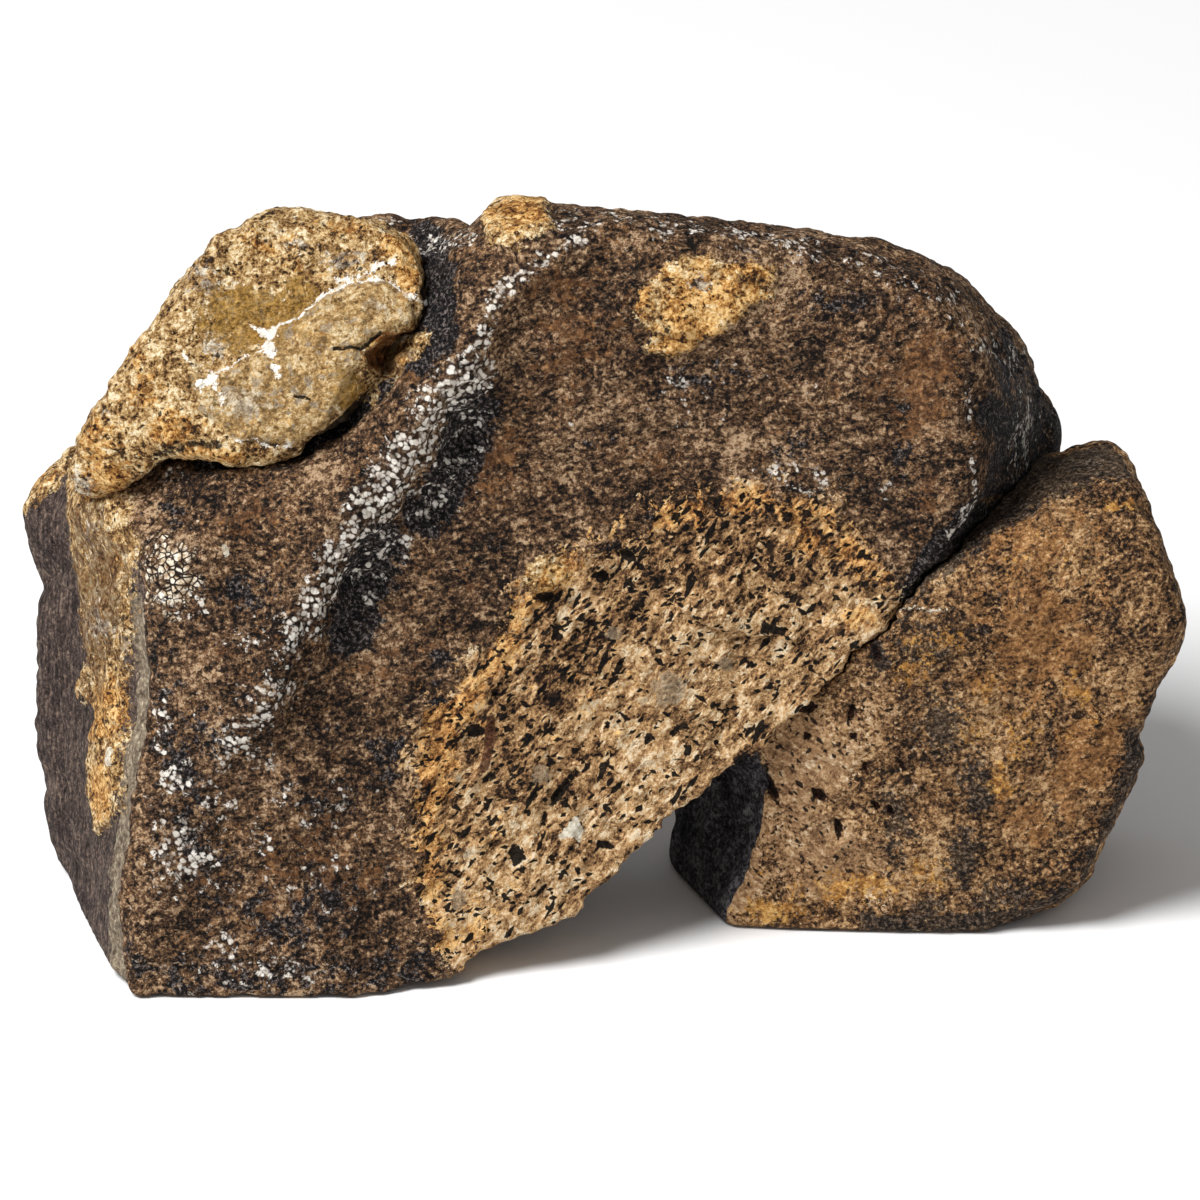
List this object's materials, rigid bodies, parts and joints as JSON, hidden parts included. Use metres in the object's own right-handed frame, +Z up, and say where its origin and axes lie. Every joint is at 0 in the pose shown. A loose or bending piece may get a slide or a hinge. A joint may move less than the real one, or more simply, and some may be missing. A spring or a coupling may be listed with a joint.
{
  "type": "fossil ichthyosaur vertebra",
  "caption": "Incomplete fossil centrum of an ichthyosaur: a hollow-faced bone disc, cracked through and standing on its broken edges as an arch, with sandy rock cemented on.",
  "frame": {"origin": "middle of the bounding box's footprint, on the table that both bone fragments stand on", "axes": "+X along the arch, from the larger fragment to the smaller one; -Y is where the hollow articular face looks, leaning back by 25 degrees; +Z up"},
  "size_m": [0.1182, 0.0566, 0.0747],
  "materials": {
    "dark_bone": "matt dark brown fossil bone with pale spongy flecks and tan rock crusts",
    "brown_bone": "matt brown fossil bone with rust stains",
    "sandy_rock": "matt tan sandy rock with ochre stains and white calcite veins"
  },
  "bodies": {
    "root": {"large_bone_fragment": "dark_bone", "small_bone_fragment": "brown_bone", "rock_lump": "sandy_rock"}
  },
  "joints": []
}
